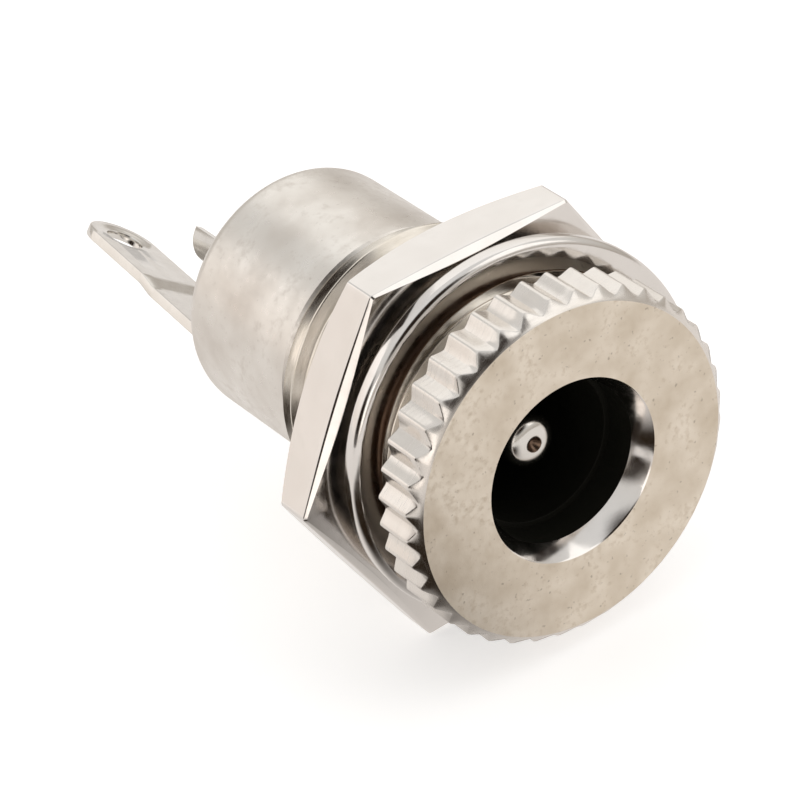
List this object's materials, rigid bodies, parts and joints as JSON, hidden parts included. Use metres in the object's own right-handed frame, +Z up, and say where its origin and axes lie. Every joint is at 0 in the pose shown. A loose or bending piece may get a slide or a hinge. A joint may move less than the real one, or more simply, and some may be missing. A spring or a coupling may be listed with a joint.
{
  "type": "dc barrel jack",
  "caption": "Round panel-mount power jack: knurled flange, threaded barrel with split washer and hexagon nut, centre pin, solder cup and ground tab.",
  "frame": {"origin": "on the socket's axis, at the back face of the head, which seats on the panel", "axes": "-Y points out of the mouth, +Y towards the solder terminals, +Z up with two of the nut's flats level"},
  "size_m": [0.0168, 0.0297, 0.0146],
  "materials": {
    "nickel_plate": "nickel-plated turned brass, satin",
    "spring_plate": "plated stamped brass sheet",
    "bright_plate": "bright nickel plate",
    "black_plastic": "moulded black plastic",
    "grey_plastic": "turned dark grey plastic"
  },
  "bodies": {
    "jack": {"shell": "nickel_plate", "socket_liner": "black_plastic", "centre_pin": "nickel_plate", "sleeve_contact": "spring_plate", "ground_tab": "spring_plate", "rear_bush": "grey_plastic"},
    "washer": {"split_washer": "bright_plate"},
    "nut": {"hex_nut": "bright_plate"}
  },
  "joints": [
    {"name": "washer_slide", "type": "slide", "parent": "jack", "child": "washer", "axis": [0, 1, 0], "range_m": [-0.00038, 0.00375]},
    {"name": "nut_turn", "type": "hinge", "parent": "washer", "child": "nut", "pos_m": [0, 0.0035, 0], "axis": [0, 1, 0], "range_deg": [-180, 1800]}
  ],
  "couplings": [
    {"joint": "nut_turn", "follows": "washer_slide", "rad_per_m": 8377.6}
  ]
}
